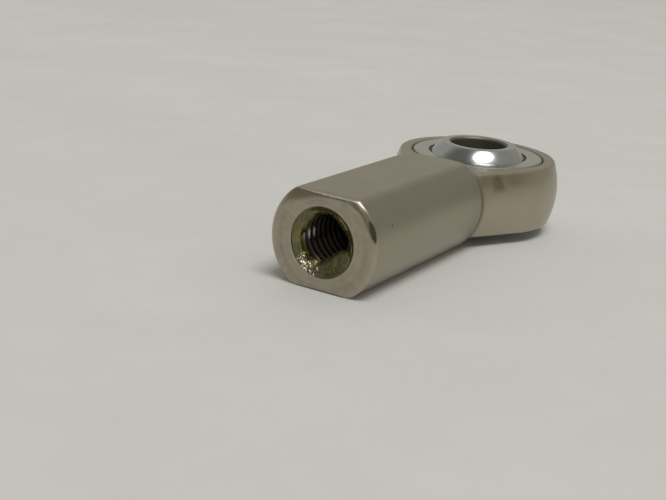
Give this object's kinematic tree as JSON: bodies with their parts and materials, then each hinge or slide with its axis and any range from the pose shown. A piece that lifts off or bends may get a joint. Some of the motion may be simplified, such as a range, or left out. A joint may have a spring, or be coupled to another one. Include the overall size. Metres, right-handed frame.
{
  "type": "rod end bearing",
  "caption": "Female rod end: threaded round shank with wrench flats, ball-turned eye, staked race, liner and a bored ball that tilts for misalignment.",
  "frame": {"origin": "centre of the ball", "axes": "+X along the shank and out of its threaded mouth, +Z along the ball's bore, upwards with the part lying on its flats"},
  "size_m": [0.0428, 0.019, 0.0096],
  "materials": {
    "nickel_plated_steel": "satin, warm nickel plate over turned and milled steel",
    "race_steel": "fine turned, semi-bright",
    "liner_fabric": "dark, matt, bonded",
    "ball_chrome": "polished"
  },
  "bodies": {
    "housing": {"rod_end_body": "nickel_plated_steel", "bearing_race": "race_steel", "ptfe_liner": "liner_fabric"},
    "swivel_ball": {"ball": "ball_chrome"}
  },
  "joints": [
    {"name": "ball_tilt", "type": "hinge", "parent": "housing", "child": "swivel_ball", "pos_m": [0, 0, 0], "axis": [1, 0, 0], "range_deg": [-13, 13]}
  ]
}
